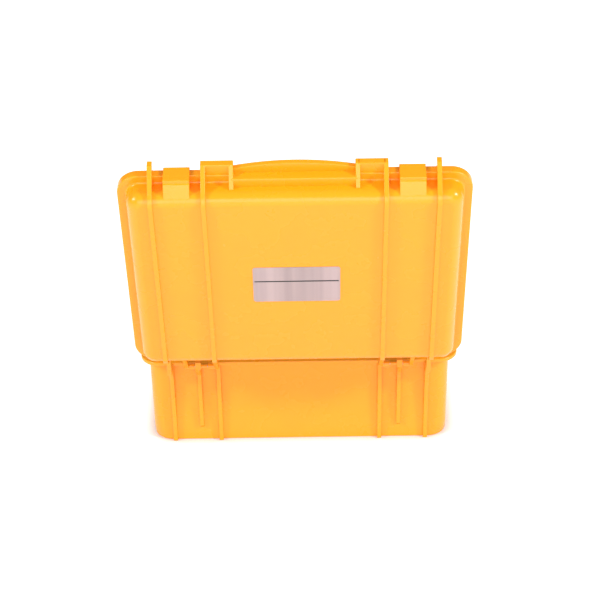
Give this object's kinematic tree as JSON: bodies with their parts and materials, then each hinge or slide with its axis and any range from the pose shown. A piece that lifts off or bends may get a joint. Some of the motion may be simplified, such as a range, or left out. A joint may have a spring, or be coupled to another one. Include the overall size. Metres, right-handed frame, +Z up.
{
  "type": "micro ohmmeter",
  "caption": "Micro ohmmeter in a hinged moulded carrying case that stands open, with a panel of display, knobs, switch, inlet and screw terminals inside.",
  "frame": {"origin": "centre of the base's underside, on the surface that it stands on", "axes": "+X to the right of a user who faces the panel, -Y towards that user, +Z up; the lid opens at the back, +Y"},
  "size_m": [0.25, 0.2784, 0.2827],
  "materials": {
    "case_plastic": "moulded, satin",
    "seal_rubber": "matt",
    "label_foil": "brushed foil",
    "pin_steel": "drawn",
    "panel_paint": "fine texture paint",
    "screw_steel": "zinc plated",
    "bezel_plastic": "matt",
    "window_acrylic": "clear",
    "display_glass": "liquid crystal",
    "knob_plastic": "satin",
    "switch_plastic": "moulded",
    "pot_case": "plated",
    "button_red": "gloss",
    "black_plastic": "moulded",
    "rocker_red": "gloss",
    "blade_brass": "nickel free, turned",
    "fuse_glass": "clear",
    "terminal_black": "moulded",
    "terminal_red": "moulded",
    "lead_blue": "pvc",
    "board_green": "solder mask",
    "core_iron": "laminated sheet",
    "coil_tape": "tape",
    "capacitor_blue": "sleeve",
    "resistor_white": "ceramic",
    "sink_black": "anodised",
    "chip_black": "moulded"
  },
  "bodies": {
    "base": {"base_shell": "case_plastic", "hinge_pin_left": "pin_steel", "hinge_pin_right": "pin_steel", "latch_pin_left": "pin_steel", "latch_pin_right": "pin_steel", "handle_pin_left": "pin_steel", "handle_pin_right": "pin_steel", "front_panel": "panel_paint", "panel_screws": "screw_steel", "display_bezel": "bezel_plastic", "display_window": "window_acrylic", "display_module": "display_glass", "range_switch": "switch_plastic", "zero_pot": "pot_case", "button_housing": "black_plastic", "button_spring": "pin_steel", "rocker_pin": "pin_steel", "rocker_housing": "black_plastic", "mains_inlet": "black_plastic", "inlet_blades": "blade_brass", "fuse_holder": "black_plastic", "terminal_insulator_1": "terminal_black", "terminal_insulator_2": "terminal_red", "terminal_insulator_3": "terminal_red", "terminal_insulator_4": "terminal_black", "terminal_stud_1": "blade_brass", "terminal_stud_2": "blade_brass", "terminal_stud_3": "blade_brass", "terminal_stud_4": "blade_brass", "terminal_nuts": "pin_steel", "terminal_leads": "lead_blue", "circuit_board": "board_green", "board_pillars": "blade_brass", "board_screws": "screw_steel", "transformer_core": "core_iron", "transformer_coil": "coil_tape", "filter_capacitors": "capacitor_blue", "range_resistors": "resistor_white", "heat_sink": "sink_black", "converter_chip": "chip_black"},
    "lid": {"lid_shell": "case_plastic", "rim_seal": "seal_rubber", "name_label": "label_foil"},
    "latch_left": {"latch_left": "case_plastic"},
    "latch_right": {"latch_right": "case_plastic"},
    "handle": {"carry_handle": "case_plastic"},
    "range_knob": {"range_knob": "knob_plastic", "range_shaft": "pin_steel"},
    "zero_knob": {"zero_knob": "knob_plastic", "zero_shaft": "pin_steel"},
    "test_button": {"test_button": "button_red"},
    "power_rocker": {"power_rocker": "rocker_red"},
    "fuse_cap": {"fuse_cap": "black_plastic", "glass_fuse": "fuse_glass"},
    "terminal_cap_1": {"terminal_cap_1": "terminal_black"},
    "terminal_cap_2": {"terminal_cap_2": "terminal_red"},
    "terminal_cap_3": {"terminal_cap_3": "terminal_red"},
    "terminal_cap_4": {"terminal_cap_4": "terminal_black"}
  },
  "joints": [
    {"name": "lid_hinge", "type": "hinge", "parent": "base", "child": "lid", "pos_m": [0, 0.1058, 0.0815], "axis": [1, 0, 0], "range_deg": [0, 105.5]},
    {"name": "latch_left_pivot", "type": "hinge", "parent": "base", "child": "latch_left", "pos_m": [-0.0822, -0.0982, 0.052], "axis": [-1, 0, 0], "range_deg": [0, 180]},
    {"name": "latch_right_pivot", "type": "hinge", "parent": "base", "child": "latch_right", "pos_m": [0.0822, -0.0982, 0.052], "axis": [-1, 0, 0], "range_deg": [0, 180]},
    {"name": "handle_pivot", "type": "hinge", "parent": "base", "child": "handle", "pos_m": [0, -0.0972, 0.062], "axis": [-1, 0, 0], "range_deg": [0, 90]},
    {"name": "range_knob_turn", "type": "hinge", "parent": "base", "child": "range_knob", "pos_m": [0.03, 0.006, 0.07], "axis": [0, 0, -1], "range_deg": [0, 120]},
    {"name": "zero_knob_turn", "type": "hinge", "parent": "base", "child": "zero_knob", "pos_m": [-0.03, -0.006, 0.07], "axis": [0, 0, -1], "range_deg": [-135, 135]},
    {"name": "test_button_press", "type": "slide", "parent": "base", "child": "test_button", "axis": [0, 0, -1], "range_m": [0, 0.003], "stiffness_N_per_m": 250, "springref_m": -0.002, "deforming": ["button_spring"]},
    {"name": "power_rocker_tilt", "type": "hinge", "parent": "base", "child": "power_rocker", "pos_m": [0.084, 0.002, 0.0678], "axis": [-1, 0, 0], "range_deg": [0, 18]},
    {"name": "fuse_cap_turn", "type": "hinge", "parent": "base", "child": "fuse_cap", "pos_m": [0.084, 0.03, 0.07], "axis": [0, 0, 1], "range_deg": [0, 90]},
    {"name": "terminal_cap_1_turn", "type": "hinge", "parent": "base", "child": "terminal_cap_1", "pos_m": [-0.074, -0.05, 0.0735], "axis": [0, 0, 1], "range_deg": [0, 1080]},
    {"name": "terminal_cap_2_turn", "type": "hinge", "parent": "base", "child": "terminal_cap_2", "pos_m": [-0.042, -0.05, 0.0735], "axis": [0, 0, 1], "range_deg": [0, 1080]},
    {"name": "terminal_cap_3_turn", "type": "hinge", "parent": "base", "child": "terminal_cap_3", "pos_m": [-0.01, -0.05, 0.0735], "axis": [0, 0, 1], "range_deg": [0, 1080]},
    {"name": "terminal_cap_4_turn", "type": "hinge", "parent": "base", "child": "terminal_cap_4", "pos_m": [0.022, -0.05, 0.0735], "axis": [0, 0, 1], "range_deg": [0, 1080]}
  ]
}
